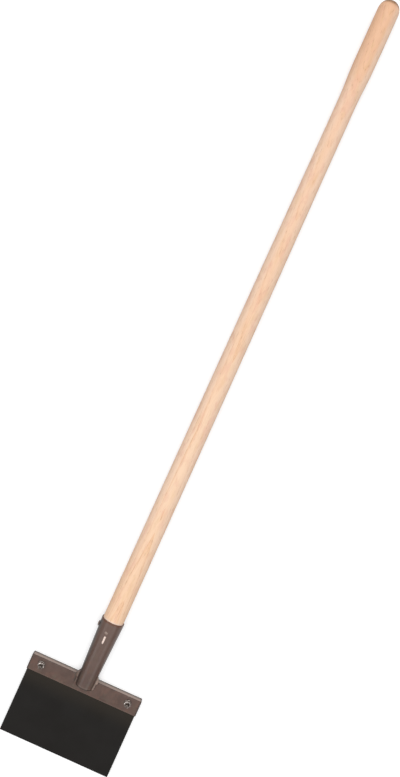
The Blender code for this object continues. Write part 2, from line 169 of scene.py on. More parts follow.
# M6 hardware, which stands where the CAD has it
bolt_low, bolt_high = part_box("bolt_right")
BOLT_X = (bolt_low.x + bolt_high.x) / 2
BOLT_Y = (bolt_low.y + bolt_high.y) / 2
BOLT_RADIUS = 3 * MM
THREAD_PITCH = 1.0 * MM
THREAD_DEPTH = 0.45 * MM
THREAD_RINGS_PER_TURN = 10
BOLT_TIP_CHAMFER = 0.8 * MM
BOLT_LENGTH = 20 * MM
HEAD_HEIGHT = 4 * MM
HEX_RADIUS = 10 * MM / 2 / math.cos(math.pi / 6)
# The round face that the chamfer leaves on a nut or a head
HEX_FACE = 8.5 * MM / 2
HEX_CHAMFER_ANGLE = math.radians(30)
NUT_HEIGHT = 5 * MM
# The cone that opens a nut's bore: where it starts inside, and its radius 1 mm outside the nut
COUNTERSINK_DEPTH = 0.4 * MM
COUNTERSINK_RADIUS = BOLT_RADIUS + 1.4 * MM
WASHER_RADIUS = 6 * MM
WASHER_THICKNESS = 1.6 * MM
WASHER_EDGE_ROUND = 0.35 * MM
WASHER_EDGE_STEPS = 4
WASHER_BURR = 0.1 * MM
HOLE_RADIUS = BOLT_RADIUS + FIT_GAP
HARDWARE_STEPS = 64

# Screw that holds the handle
SCREW_DOME_STEPS = 12
SCREW_HEAD_RADIUS = 5 * MM
SCREW_HEAD_HEIGHT = 2.4 * MM
SCREW_RADIUS = 2.4 * MM
SCREW_LENGTH = 22 * MM
SCREW_POINT = 6 * MM
SCREW_HEIGHT = SOCKET_RISE - 14 * MM
RECESS_REACH = 2.6 * MM
RECESS_WIDTH = 0.9 * MM
RECESS_DEPTH = 1.3 * MM
RECESS_STEP = 0.02 * MM


def mesh_of(bm, name, sharp_angle=35):
    """Turns the finished shape into a mesh, smooth but for the edges over the angle."""
    mesh = bpy.data.meshes.new(name)
    bm.to_mesh(mesh)
    bm.free()
    mesh.shade_smooth()
    mesh.set_sharp_from_angle(angle=math.radians(sharp_angle))
    return mesh


def combined(bm, steps):
    """The shape joined with others, cut by them or kept inside them.

    Steps are pairs of an operation and a shape."""
    tools = []
    body = bpy.data.objects.new("body", mesh_of(bm, "body"))
    bpy.context.scene.collection.objects.link(body)
    for operation, other in steps:
        tool = bpy.data.objects.new("tool", mesh_of(other, "tool"))
        bpy.context.scene.collection.objects.link(tool)
        tools.append(tool)
        modifier = body.modifiers.new(operation, "BOOLEAN")
        modifier.operation = operation
        modifier.solver = "EXACT"
        modifier.object = tool
    graph = bpy.context.evaluated_depsgraph_get()
    result = bmesh.new()
    result.from_object(body, graph)
    for used in [body, *tools]:
        bpy.data.objects.remove(used, do_unlink=True)
    return result


def add_piece(name, mesh, material, node=None, even=False):
    """Puts a finished mesh into the scene, on the spade's body, for the CAD node named.

    Even shading keeps flat faces flat next to their rounded edges."""
    mesh.name = name
    mesh.materials.clear()
    mesh.materials.append(material)
    made = bpy.data.objects.new(name, mesh)
    bpy.context.scene.collection.objects.link(made)
    if even:
        shading = made.modifiers.new("even shading", "WEIGHTED_NORMAL")
        shading.mode = "FACE_AREA"
        shading.keep_sharp = True
    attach(made, "root")
    if node:
        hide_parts(node)


def turned(profile, steps, closed=False):
    """Turns a profile of (radius, height) points once round the Z axis."""
    bm = bmesh.new()
    points = [bm.verts.new((radius, 0, height)) for radius, height in profile]
    lines = [bm.edges.new(link) for link in zip(points, points[1:])]
    if closed:
        lines.append(bm.edges.new((points[-1], points[0])))
    bmesh.ops.spin(
        bm,
        geom=points + lines,
        cent=(0, 0, 0),
        axis=(0, 0, 1),
        dvec=(0, 0, 0),
        angle=2 * math.pi,
        space=Matrix.Identity(4),
        steps=steps,
        use_merge=True,
    )
    bmesh.ops.remove_doubles(bm, verts=bm.verts, dist=1e-7)
    bmesh.ops.recalc_face_normals(bm, faces=bm.faces)
    return bm


def block(low, high):
    """A box between two corners."""
    low, high = Vector(low), Vector(high)
    bm = bmesh.new()
    bmesh.ops.create_cube(bm, size=1)
    bmesh.ops.scale(bm, vec=high - low, verts=bm.verts)
    bmesh.ops.translate(bm, vec=(low + high) / 2, verts=bm.verts)
    return bm


def rounded(bm, edges, radius, segments):
    """Rounds edges with a bevel."""
    bmesh.ops.bevel(
        bm,
        geom=edges,
        offset=radius,
        offset_type="OFFSET",
        affect="EDGES",
        segments=segments,
        profile=0.5,
        material=-1,
    )


def placed(bm, matrix):
    """Moves and turns a shape."""
    bmesh.ops.transform(bm, matrix=matrix, verts=bm.verts)
    return bm


def shares(steps):
    """The shares from 0 to 1 in equal steps."""
    return [step / steps for step in range(steps + 1)]


def eased(share):
    """Goes from 0 to 1 with both ends eased."""
    return share - math.sin(2 * math.pi * share) / (2 * math.pi)


def socket_radius(height):
    """Outer radius of the socket at a height above the flange."""
    return FOOT_RADIUS + (MOUTH_RADIUS - FOOT_RADIUS) * (height + SOCKET_LAP) / SOCKET_LENGTH


def handle_profile():
    """Radius and height of the handle above the flange, from its butt to the rounded tip."""
    waist_top = HANDLE_TIP - GRIP_LENGTH - SWELL_LENGTH
    stations = [(height * MM, radius * MM) for height, radius in TAPER_STATIONS]
    stations.append((waist_top - WAIST_LENGTH, WAIST_RADIUS))
    butt_radius = socket_radius(HANDLE_BUTT) - SOCKET_WALL - FIT_GAP
    profile = [
        (0, HANDLE_BUTT),
        (butt_radius - BUTT_CHAMFER, HANDLE_BUTT),
        (butt_radius, HANDLE_BUTT + BUTT_CHAMFER),
        (HANDLE_RADIUS, SOCKET_RISE),
    ]
    # A hand plane leaves no corner between the stations, so each joint is taken off a little
    for (low, wide), (middle, radius), (high, narrow) in zip(stations, stations[1:], stations[2:]):
        before = Vector((wide, low)).lerp((radius, middle), 1 - JOINT_REACH)
        after = Vector((radius, middle)).lerp((narrow, high), JOINT_REACH)
        for share in shares(JOINT_STEPS):
            first = before.lerp((radius, middle), share)
            profile.append(tuple(first.lerp(Vector((radius, middle)).lerp(after, share), share)))
    for share in shares(CURVE_STEPS):
        radius = WAIST_RADIUS + (GRIP_RADIUS - WAIST_RADIUS) * eased(share)
        profile.append((radius, waist_top + SWELL_LENGTH * share))
    for share in shares(CURVE_STEPS):
        turn = math.pi / 2 * share
        height = HANDLE_TIP - GRIP_DOME * (1 - math.sin(turn))
        profile.append((GRIP_RADIUS * math.cos(turn) ** DOME_FULLNESS, height))
    profile[-1] = (0, HANDLE_TIP)
    return profile


def notch_angle(height):
    """Angle from the front at which the lap of the socket meets the leg."""
    return math.acos(-(AXIS_HEIGHT - FIT_GAP) / socket_radius(height))


def obround_point(across, along):
    """The point of the slot's outline that a point around it looks at."""
    straight = (SLOT_LENGTH - SLOT_WIDTH) / 2
    up = max(-straight, min(straight, along - SLOT_HEIGHT))
    middle = Vector((SLOT_ASIDE, SLOT_HEIGHT + up, 0))
    outward = Vector((across, along, 0)) - middle
    return middle + outward.normalized() * SLOT_WIDTH / 2


def socket_shape():
    """The socket as it is made: a flat sheet with its slot and notches, rolled into a cone."""
    rows = LAP_ROWS + BODY_ROWS
    bm = bmesh.new()
    bmesh.ops.create_grid(bm, x_segments=SHEET_COLUMNS, y_segments=rows, size=1)
    flat_radius = socket_radius(SLOT_HEIGHT)
    half_turn = math.pi - SEAM_WIDTH / 2 / flat_radius
    notch_start = NOTCH_COLUMN / (SHEET_COLUMNS / 2) * half_turn

    def row_height(row):
        """Height of a row above the flange: the first rows make the lap, the others the body."""
        if row <= LAP_ROWS:
            return -SOCKET_LAP + (SOCKET_LAP + FIT_GAP) * row / LAP_ROWS
        return FIT_GAP + (SOCKET_RISE - FIT_GAP) * (row - LAP_ROWS) / BODY_ROWS

    for point in bm.verts:
        row = round((point.co.y + 1) / 2 * rows)
        height = row_height(row)
        angle = point.co.x * half_turn
        if row <= LAP_ROWS and abs(abs(angle) - notch_start) < 1e-4:
            angle = math.copysign(notch_angle(height), angle)
        point.co = (angle * flat_radius, height, 0)

    def in_notch(face):
        """Whether a face lies where the lap is cut away, at the sides and the back."""
        middle = face.calc_center_median()
        return middle.y < FIT_GAP and abs(middle.x) > notch_start * flat_radius

    def at_slot(face):
        """Whether a face lies in the slot or close round it."""
        middle = face.calc_center_median()
        wide = 2 * half_turn / SHEET_COLUMNS * SLOT_MARGIN_COLUMNS * flat_radius
        tall = SLOT_LENGTH / 2 + SLOT_MARGIN
        return abs(middle.x - SLOT_ASIDE) < wide and abs(middle.y - SLOT_HEIGHT) < tall

    cut_out = [face for face in bm.faces if in_notch(face) or at_slot(face)]
    bmesh.ops.delete(bm, geom=cut_out, context="FACES")

    slot_middle = Vector((SLOT_ASIDE, SLOT_HEIGHT, 0))
    ring = [
        edge
        for edge in bm.edges
        if edge.is_boundary
        and all((point.co - slot_middle).length < SLOT_LENGTH for point in edge.verts)
    ]
    # The cells round the slot are joined to its outline in two rings
    for share in (0.5, 1):
        made = bmesh.ops.extrude_edge_only(bm, edges=ring)["geom"]
        points = [item for item in made if isinstance(item, bmesh.types.BMVert)]
        known = set(points)
        ring = [
            item
            for item in made
            if isinstance(item, bmesh.types.BMEdge) and set(item.verts) <= known
        ]
        for point in points:
            point.co = point.co.lerp(obround_point(point.co.x, point.co.y), share)

    for point in bm.verts:
        angle = point.co.x / flat_radius
        radius = socket_radius(point.co.y)
        point.co = (radius * math.sin(angle), -radius * math.cos(angle), point.co.y)
    bmesh.ops.recalc_face_normals(bm, faces=bm.faces)
    middle_face = min(bm.faces, key=lambda face: face.calc_center_median().y)
    if middle_face.normal.y > 0:
        bmesh.ops.reverse_faces(bm, faces=bm.faces)
    bmesh.ops.solidify(bm, geom=bm.faces[:], thickness=SOCKET_WALL)
    sharp = [edge for edge in bm.edges if edge.calc_face_angle(0) > CUT_EDGE_ANGLE]
    rounded(bm, sharp, CUT_EDGE_ROUND, 3)
    return bm


def screw_place():
    """Where the screw's head sits on the left of the socket, square to its wall."""
    seat = (-(socket_radius(SCREW_HEIGHT) + FIT_GAP), 0, SCREW_HEIGHT)
    turn = Matrix.Rotation(-math.pi / 2 - TAPER_ANGLE, 4, "Y")
    return Matrix.Translation(seat) @ turn


def screw_shape():
    """Dome head screw: the underside of its head at height 0, a cross recess in the dome."""
    profile = [(0, -SCREW_LENGTH), (SCREW_RADIUS, -SCREW_LENGTH + SCREW_POINT)]
    profile += [(SCREW_RADIUS, 0), (SCREW_HEAD_RADIUS, 0)]
    rim = SCREW_HEAD_HEIGHT / 4
    for share in shares(SCREW_DOME_STEPS):
        turn = math.pi / 2 * share
        height = rim + (SCREW_HEAD_HEIGHT - rim) * math.sin(turn)
        profile.append((SCREW_HEAD_RADIUS * math.cos(turn), height))
    profile[-1] = (0, SCREW_HEAD_HEIGHT)
    arms = []
    half = RECESS_WIDTH / 2
    # One arm is a hair deeper, so that their floors are never the same plane
    for reach_x, reach_y, depth in (
        (RECESS_REACH, half, RECESS_DEPTH),
        (half, RECESS_REACH, RECESS_DEPTH + RECESS_STEP),
    ):
        low = (-reach_x, -reach_y, SCREW_HEAD_HEIGHT - depth)
        arms.append(("DIFFERENCE", block(low, (reach_x, reach_y, SCREW_HEAD_HEIGHT + MM))))
    return combined(turned(profile, HARDWARE_STEPS), arms)


def side_bead():
    """A bead beside the lap: domed below, a shoulder at the flange, and thin at its top."""
    profile = []
    for share in shares(BEAD_STEPS):
        turn = math.pi / 2 * share
        profile.append((SIDE_WELD_REACH * math.sin(turn), -SIDE_WELD_REACH * math.cos(turn)))
    profile[0] = (0, -SIDE_WELD_REACH)
    for share in shares(SHOULDER_STEPS):
        radius = SIDE_WELD_REACH + (SHOULDER_REACH - SIDE_WELD_REACH) * eased(share)
        profile.append((radius, SOCKET_LAP - SHOULDER_REACH + SHOULDER_REACH * share))
    profile.append((SHOULDER_REACH, SOCKET_LAP + SHOULDER_TOP))
    profile.append((WELD_TIP, SOCKET_LAP + WELD_CLIMB - WELD_TIP))
    profile.append((0, SOCKET_LAP + WELD_CLIMB))
    return turned(profile, WELD_STEPS)


def back_bead():
    """The bead on the flange, round the back of the socket from side to side."""
    flange_half = math.sqrt(socket_radius(0) ** 2 - AXIS_HEIGHT**2)
    start = math.atan2(AXIS_HEIGHT, flange_half)
    bm = bmesh.new()
    bmesh.ops.create_circle(bm, cap_ends=True, radius=WELD_REACH, segments=WELD_STEPS)
    stand = Matrix.Rotation(math.pi / 2, 4, "X")
    outward = Matrix.Translation((socket_radius(0), 0, 0))
    placed(bm, Matrix.Rotation(start, 4, "Z") @ outward @ stand)
    bmesh.ops.spin(
        bm,
        geom=bm.verts[:] + bm.edges[:] + bm.faces[:],
        cent=(0, 0, 0),
        axis=(0, 0, 1),
        dvec=(0, 0, 0),
        angle=math.pi - 2 * start,
        space=Matrix.Identity(4),
        steps=2 * WELD_STEPS,
        use_merge=False,
    )
    bmesh.ops.recalc_face_normals(bm, faces=bm.faces)
    return bm


def weld_shape():
    """The bead round the foot of the socket, run together, rippled and fitted to both walls."""
    foot_half = math.sqrt(FOOT_RADIUS**2 - AXIS_HEIGHT**2)
    flange_half = math.sqrt(socket_radius(0) ** 2 - AXIS_HEIGHT**2)
    lean = math.atan2(flange_half - foot_half, SOCKET_LAP)
    sides = []
    for sign in (-1, 1):
        corner = Matrix.Translation((sign * foot_half, AXIS_HEIGHT, -SOCKET_LAP))
        sides.append(("UNION", placed(side_bead(), corner @ Matrix.Rotation(sign * lean, 4, "Y"))))
    molten = combined(back_bead(), sides)
    blank = bpy.data.objects.new("molten", mesh_of(molten, "molten"))
    bpy.context.scene.collection.objects.link(blank)
    even = blank.modifiers.new("even grain", "REMESH")
    even.mode = "VOXEL"
    even.voxel_size = WELD_GRAIN
    bm = bmesh.new()
    bm.from_object(blank, bpy.context.evaluated_depsgraph_get())
    bpy.data.objects.remove(blank, do_unlink=True)
    for _ in range(WELD_SMOOTHINGS):
        bmesh.ops.smooth_vert(bm, verts=bm.verts, factor=0.5)
    bm.normal_update()
    moves = []
    for point in bm.verts:
        round_back = math.atan2(point.co.x, point.co.y) * socket_radius(0)
        path = abs(round_back) - point.co.z
        wave = math.sin(2 * math.pi * path / RIPPLE_PITCH)
        rough = noise.noise(point.co / WELD_LUMPS)
        moves.append(point.normal * RIPPLE_HEIGHT * (wave * 0.5 + rough * 0.6))
    for point, move in zip(bm.verts, moves):
        point.co += move
    cone = turned(
        [
            (0, -SOCKET_LAP - FIT_GAP),
            (FOOT_RADIUS, -SOCKET_LAP - FIT_GAP),
            (socket_radius(3 * WELD_CLIMB), 3 * WELD_CLIMB),
            (0, 3 * WELD_CLIMB),
        ],
        SHEET_COLUMNS,
    )
    room = 40 * MM
    saddle = block((-room, AXIS_HEIGHT, -room), (room, room, 0))
    return combined(bm, [("DIFFERENCE", cone), ("DIFFERENCE", saddle)])


def dab_shape():
    """A low spot of weld on the front of the socket, slightly uneven."""
    bm = bmesh.new()
    bmesh.ops.create_uvsphere(bm, u_segments=48, v_segments=24, radius=0.5)
    bmesh.ops.scale(bm, vec=DAB_SIZE, verts=bm.verts)
    for point in bm.verts:
        point.co *= 1 + DAB_UNEVEN * noise.noise(point.co / DAB_LUMPS + Vector((3, 1, 5)))
    front = socket_radius(SOCKET_RISE - DAB_DROP)
    # Bent round the wall, so that its edge runs into it all round
    for point in bm.verts:
        angle = (point.co.x + DAB_ASIDE) / front
        radius = front + point.co.z - DAB_SUNK
        point.co = (radius * math.sin(angle), -radius * math.cos(angle), point.co.y)
    bmesh.ops.translate(bm, vec=(0, 0, SOCKET_RISE - DAB_DROP), verts=bm.verts)
    bmesh.ops.recalc_face_normals(bm, faces=bm.faces)
    return bm


def angle_shape():
    """The rolled steel angle: flange top at y = 0, front face of the leg at z = 0."""
    depth = holder_high.z - holder_low.z
    reach = holder_high.y - holder_low.y
    thick = HOLDER_THICKNESS
    corners = (
        (0, 0, CORNER_ROUND),
        (0, -depth, 0),
        (-thick, -depth, TOE_RADIUS),
        (-thick, -thick, ROOT_RADIUS),
        (-reach, -thick, TOE_RADIUS),
        (-reach, 0, CORNER_ROUND),
    )
    bm = bmesh.new()
    points = [bm.verts.new((holder_low.x, y, z)) for y, z, _ in corners]
    made = bmesh.ops.extrude_face_region(bm, geom=[bm.faces.new(points)])["geom"]
    moved = [item for item in made if isinstance(item, bmesh.types.BMVert)]
    bmesh.ops.translate(bm, vec=(holder_high.x - holder_low.x, 0, 0), verts=moved)
    for y, z, radius in corners:
        if radius:
            along = [
                edge
                for edge in bm.edges
                if all(abs(p.co.y - y) < 1e-6 and abs(p.co.z - z) < 1e-6 for p in edge.verts)
            ]
            rounded(bm, along, radius, 8)
    bmesh.ops.recalc_face_normals(bm, faces=bm.faces)
    ends = [
        edge
        for edge in bm.edges
        if any(abs(face.normal.x) > 0.99 for face in edge.link_faces)
        and abs(edge.verts[0].co.x - edge.verts[1].co.x) < 1e-6
    ]
    rounded(bm, ends, END_ROUND, 2)
    return placed(bm, Matrix.Translation((0, FLANGE_Y, LEG_Z)))


def blade_shape():
    """The plain blade, with its edges rounded by the roll and the shear."""
    bm = block(blade_low, blade_high)
    rounded(bm, bm.edges[:], BLADE_EDGE_ROUND, 3)
    return bm


def bolt_ways():
    """The two bolt holes, as shapes to cut with."""
    ways = []
    far = 10 * MM
    for x in (-BOLT_X, BOLT_X):
        profile = [(0, -far), (HOLE_RADIUS, -far), (HOLE_RADIUS, far), (0, far)]
        way = turned(profile, HARDWARE_STEPS)
        ways.append(("DIFFERENCE", placed(way, Matrix.Translation((x, BOLT_Y, LEG_Z)))))
    return ways


def hexagon(low, high, chamfer_low, chamfer_high):
    """A hexagonal bar across the flats, faced and chamfered on the lathe."""
    ends = (low - MM, high + MM)
    bar = turned([(0, ends[0]), (HEX_RADIUS, ends[0]), (HEX_RADIUS, ends[1]), (0, ends[1])], 6)
    outside = HEX_RADIUS + FIT_GAP
    rise = (outside - HEX_FACE) * math.tan(HEX_CHAMFER_ANGLE)
    profile = [(0, low)]
    profile += [(HEX_FACE, low), (outside, low + rise)] if chamfer_low else [(outside, low)]
    profile += [(outside, high - rise), (HEX_FACE, high)] if chamfer_high else [(outside, high)]
    profile.append((0, high))
    # Half a step round, so that no edge of the turned shape meets a corner, a bore or a shank
    half_step = Matrix.Rotation(math.pi / HARDWARE_STEPS, 4, "Z")
    lathe = placed(turned(profile, HARDWARE_STEPS), half_step)
    return combined(bar, [("INTERSECT", lathe)])


def bolt_shape():
    """Hexagon bolt, its head's underside at height 0, threaded to its chamfered tip."""
    # It starts half a ring below the middle of the head, so that no ring lies in the head's face
    start, end = -(HEAD_HEIGHT + THREAD_PITCH / THREAD_RINGS_PER_TURN) / 2, BOLT_LENGTH
    rings = math.ceil((end - start) / THREAD_PITCH * THREAD_RINGS_PER_TURN)
    profile = [(0, start)]
    profile += [(BOLT_RADIUS, start + (end - start) * ring / rings) for ring in range(rings + 1)]
    profile.append((0, end))
    shank = turned(profile, HARDWARE_STEPS // 2)
    for point in shank.verts:
        radius = math.hypot(point.co.x, point.co.y)
        if radius < BOLT_RADIUS / 2:
            continue
        turn = math.atan2(point.co.y, point.co.x) / (2 * math.pi)
        phase = (point.co.z / THREAD_PITCH - turn) % 1
        groove = 0.5 + 0.5 * math.cos(2 * math.pi * phase)
        wanted = BOLT_RADIUS - THREAD_DEPTH * groove
        tip = BOLT_RADIUS - BOLT_TIP_CHAMFER + (end - point.co.z)
        wanted = min(wanted, tip)
        point.co.x *= wanted / radius
        point.co.y *= wanted / radius
    head = hexagon(-HEAD_HEIGHT, 0, True, False)
    return combined(head, [("UNION", shank)])


def nut_shape():
    """Hexagon nut, its underside at height 0, its bore countersunk at both ends."""
    bore = [
        (0, -MM),
        (COUNTERSINK_RADIUS, -MM),
        (HOLE_RADIUS, COUNTERSINK_DEPTH),
        (HOLE_RADIUS, NUT_HEIGHT - COUNTERSINK_DEPTH),
        (COUNTERSINK_RADIUS, NUT_HEIGHT + MM),
        (0, NUT_HEIGHT + MM),
    ]
    body = hexagon(0, NUT_HEIGHT, True, True)
    return combined(body, [("DIFFERENCE", turned(bore, HARDWARE_STEPS))])


def washer_shape():
    """A stamped washer: rounded on the side of the punch, nearly sharp below."""
    soft, burr = WASHER_EDGE_ROUND, WASHER_BURR
    outside, thick = WASHER_RADIUS, WASHER_THICKNESS
    profile = [(HOLE_RADIUS, burr), (HOLE_RADIUS + burr, 0), (outside - burr, 0), (outside, burr)]
    for share in shares(WASHER_EDGE_STEPS):
        turn = math.pi / 2 * share
        edge = (outside - soft + soft * math.cos(turn), thick - soft + soft * math.sin(turn))
        profile.append(edge)
    profile += [(HOLE_RADIUS + 2 * burr, thick), (HOLE_RADIUS, thick - 2 * burr)]
    return turned(profile, HARDWARE_STEPS, closed=True)


def colour(code):
    """The linear values of a colour's sRGB hex code."""
    values = [int(code[place : place + 2], 16) / 255 for place in (1, 3, 5)]
    linear = [v / 12.92 if v <= 0.04045 else ((v + 0.055) / 1.055) ** 2.4 for v in values]
    return (*linear, 1)


def add(tree, kind, sockets=None, **settings):
    """Adds a node with its settings; sockets take a value or the output that feeds them."""
    node = tree.nodes.new("ShaderNode" + kind)
    for name, value in settings.items():
        setattr(node, name, value)
    places = {place.identifier: place for place in node.inputs}
    for name, value in (sockets or {}).items():
        place = places.get(name) or node.inputs[name]
        if isinstance(value, bpy.types.NodeSocket):
            tree.links.new(value, place)
        else:
            place.default_value = value
    return node


def new_material(name):
    """A material with the spade's own coordinates, in metres."""
    material = bpy.data.materials.new(name)
    material.use_nodes = True
    tree = material.node_tree
    return material, tree, tree.nodes["Principled BSDF"], add(tree, "TexCoord").outputs["Object"]


def patches(tree, place, size, low=0.3, high=0.7, share=1.0, detail=3):
    """A mask of soft patches, about that many millimetres long along X, Y and Z.

    It goes from 0 where the noise is under low to the share where it is over high. The sizes also
    shift it, so that no two patterns fall together."""
    scale = [1 / (length * MM) for length in size]
    stretched = add(tree, "Mapping", {"Vector": place, "Scale": scale, "Location": size})
    cloud = add(tree, "TexNoise", {"Vector": stretched.outputs[0], "Scale": 1, "Detail": detail})
    limits = {"Value": cloud.outputs[0], "From Min": low, "From Max": high, "To Max": share}
    return add(tree, "MapRange", limits, interpolation_type="SMOOTHSTEP").outputs[0]


def coat(tree, under, *layers):
    """Colours laid over one another: each layer is a mask and a colour."""
    for mask, code in layers:
        sockets = {"Factor_Float": mask, "A_Color": under, "B_Color": colour(code)}
        under = add(tree, "Mix", sockets, data_type="RGBA").outputs[2]
    return under


def ash_wood():
    """Ash, turned, sanded and lightly oiled.

    Growth rings with open pores in their first wood: pale straw with a pinkish tone that deepens
    towards the grip, and long faint arches on the front, where the rings run out."""
    material, tree, shader, place = new_material("ash_wood_oiled")
    parts = add(tree, "SeparateXYZ", {"Vector": place}).outputs
    # The grain bows along the handle, so that a ring comes to the surface and leaves it again
    from_bow = add(tree, "Math", {"Value": parts["Y"], "Value_001": -BOW_MIDDLE}).outputs[0]
    squared = {"Value": from_bow, "Value_001": 2.0}
    squared = add(tree, "Math", squared, operation="POWER").outputs[0]
    bow = add(tree, "VectorMath", {"Vector": GRAIN_BOW, "Scale": squared}, operation="SCALE")
    drift = add(tree, "Mapping", {"Vector": place, "Scale": (20, 3, 20)})
    wander = add(tree, "TexNoise", {"Vector": drift.outputs[0], "Scale": 1, "Detail": 2})
    sway = {"Vector": wander.outputs["Color"], "Vector_001": GRAIN_SWAY, "Vector_002": place}
    swayed = add(tree, "VectorMath", sway, operation="MULTIPLY_ADD").outputs[0]
    bowed = add(tree, "VectorMath", {"Vector": swayed, "Vector_001": bow.outputs[0]}).outputs[0]
    # The noise is one half on average, so the pith is moved back by half the sway
    from_pith = add(tree, "Mapping", {"Vector": bowed, "Location": -PITH - GRAIN_SWAY / 2})
    # At a scale of 1 the rings of the wave are 2 pi / 20 apart
    wave_scale = 2 * math.pi / 20 / RING_PITCH
    rings = add(
        tree,
        "TexWave",
        {"Vector": from_pith.outputs[0], "Scale": wave_scale, "Distortion": 0},
        wave_type="RINGS",
        rings_direction="Y",
        wave_profile="SAW",
    ).outputs["Fac"]
    first = {"Value": rings, "From Min": 0, "From Max": 0.45, "To Min": 1, "To Max": 0}
    first_wood = add(tree, "MapRange", first, interpolation_type="SMOOTHSTEP").outputs[0]
    # The pores are 0.3 mm wide and drawn 1.1 mm wide, so that they show; most are in the first wood
    pores = patches(tree, place, (1.1, 10, 1.1), 0.53, 0.65, detail=2)
    crowd = {"Value": first_wood, "Value_001": 0.75, "Value_002": 0.25}
    crowd = add(tree, "Math", crowd, operation="MULTIPLY_ADD").outputs[0]
    open_pores = {"Value": pores, "Value_001": crowd}
    open_pores = add(tree, "Math", open_pores, operation="MULTIPLY").outputs[0]
    faint_pores = {"Value": open_pores, "Value_001": 0.42}
    faint_pores = add(tree, "Math", faint_pores, operation="MULTIPLY").outputs[0]
    # Hands have made it deeper towards the grip
    handled = {"Value": parts["Y"], "From Min": -0.15, "From Max": 0.72, "To Max": 0.75}
    handled = add(tree, "MapRange", handled, interpolation_type="SMOOTHSTEP").outputs[0]
    # The sides are painted paler, as painted light, from above the socket to the grip, where the
    # pale band ends on a slant
    depth = {"Value": parts["Z"], "From Min": AXIS_Z + 17.3 * MM, "From Max": AXIS_Z + 14.6 * MM}
    sides = add(tree, "MapRange", depth).outputs[0]
    above = {"Value": parts["Y"], "From Min": -0.42, "From Max": -0.25, "To Max": 0.75}
    above = add(tree, "MapRange", above, interpolation_type="SMOOTHSTEP").outputs[0]
    slant = {"Vector": place, "Vector_001": (-6.0, 1.0, 0.0)}
    slant = add(tree, "VectorMath", slant, operation="DOT_PRODUCT").outputs["Value"]
    below_grip = {"Value": slant, "From Min": 0.72, "From Max": 0.55}
    below_grip = add(tree, "MapRange", below_grip, interpolation_type="SMOOTHSTEP").outputs[0]
    between = {"Value": above, "Value_001": below_grip}
    between = add(tree, "Math", between, operation="MULTIPLY").outputs[0]
    painted_side_light = {"Value": sides, "Value_001": between}
    painted_side_light = add(tree, "Math", painted_side_light, operation="MULTIPLY").outputs[0]
    # The wood has crept 2 mm out of the socket, where it was never oiled or handled and stayed
    # pale.
    # The pale colour is also painted light in the slot, where the socket wall's shade falls on it
    pale_inside_and_lit = {"Value": parts["Y"], "From Min": MOUTH_Y + 3.2 * MM, "From Max": MOUTH_Y - MM}
    pale_inside_and_lit = add(tree, "MapRange", pale_inside_and_lit).outputs[0]
    # The end grain of the tip has drunk more oil, and is darker; the darkening also paints the
    # shade where the dome turns away from the light
    tip = FLANGE_Y + HANDLE_TIP
    end_grain_and_shade = {"Value": parts["Y"], "From Min": tip - 13.5 * MM, "From Max": tip - 6 * MM}
    end_grain_and_shade = add(tree, "MapRange", end_grain_and_shade, interpolation_type="SMOOTHSTEP").outputs[0]
    ash = coat(
        tree,
        colour("#FAD6B6"),
        (first_wood, "#F0C199"),
        (patches(tree, place, (30, 250, 30), 0.35, 0.65, 0.5), "#F7CBA6"),
        (patches(tree, place, (3.5, 220, 3.5), 0.60, 0.72, 0.45, detail=2), "#DDAA80"),
        (handled, "#F2BD97"),
        (painted_side_light, "#FFDDC3"),
        (patches(tree, place, (8, 26, 8), 0.50, 0.68, 0.32), "#EBB097"),
        (patches(tree, place, (7, 34, 7), 0.52, 0.70, 0.32), "#E9BE8B"),
        (pale_inside_and_lit, "#FFE8DC"),
        (faint_pores, "#B98860"),
        (end_grain_and_shade, "#9A704E"),
    )
    tree.links.new(ash, shader.inputs["Base Color"])
    shader.inputs["IOR"].default_value = 1.5
    shader.inputs["Roughness"].default_value = 0.55
    dents = {"Height": open_pores, "Strength": 0.5, "Distance": 0.08 * MM}
    relief = add(tree, "Bump", dents, invert=True)
    tree.links.new(relief.outputs[0], shader.inputs["Normal"])
    return material


def socket_marks(tree, place):
    """Marks on the socket's enamel: a thinner coat towards the mouth, painted shade on the sides, a
    painted highlight on the lip with painted shade along its edge at the foot, and a burnt rim."""
    parts = add(tree, "SeparateXYZ", {"Vector": place}).outputs
    thinner = {"Value": parts["Y"], "From Min": FLANGE_Y, "From Max": MOUTH_Y}
    thinner = add(tree, "MapRange", thinner).outputs[0]
    # The sides are painted dark as painted shade, a little less on the right than on the left
    faced = {"Vector": place, "Vector_001": (0.2, 0, 1)}
    faced = add(tree, "VectorMath", faced, operation="DOT_PRODUCT").outputs["Value"]
    side = {"Value": faced, "From Min": AXIS_Z + 11 * MM, "From Max": AXIS_Z + 3 * MM}
    painted_side_shade = add(tree, "MapRange", {**side, "To Max": 0.95}).outputs[0]
    masks = []
    # The first two zones paint light and shade at the foot: a highlight on the lip above a line of
    # shade at its edge; the last is the burnt rim at the mouth
    for start, end, most in (
        (FOOT_Y + 5 * MM, FOOT_Y + 3 * MM, 0.6),
        (FOOT_Y + 2.6 * MM, FOOT_Y + 1.2 * MM, 0.9),
        (MOUTH_Y - 3.4 * MM, MOUTH_Y - 1.8 * MM, 1.0),
    ):
        zone = {"Value": parts["Y"], "From Min": start, "From Max": end, "To Max": most}
        masks.append(add(tree, "MapRange", zone, interpolation_type="SMOOTHSTEP").outputs[0])
    painted_lip_highlight, painted_lip_shade, on_rim = masks
    return (
        (thinner, "#685147"),
        (painted_lip_highlight, "#6E5A50"),
        (painted_lip_shade, "#33261E"),
        (painted_side_shade, "#2E221B"),
        (on_rim, "#6A4531"),
    )


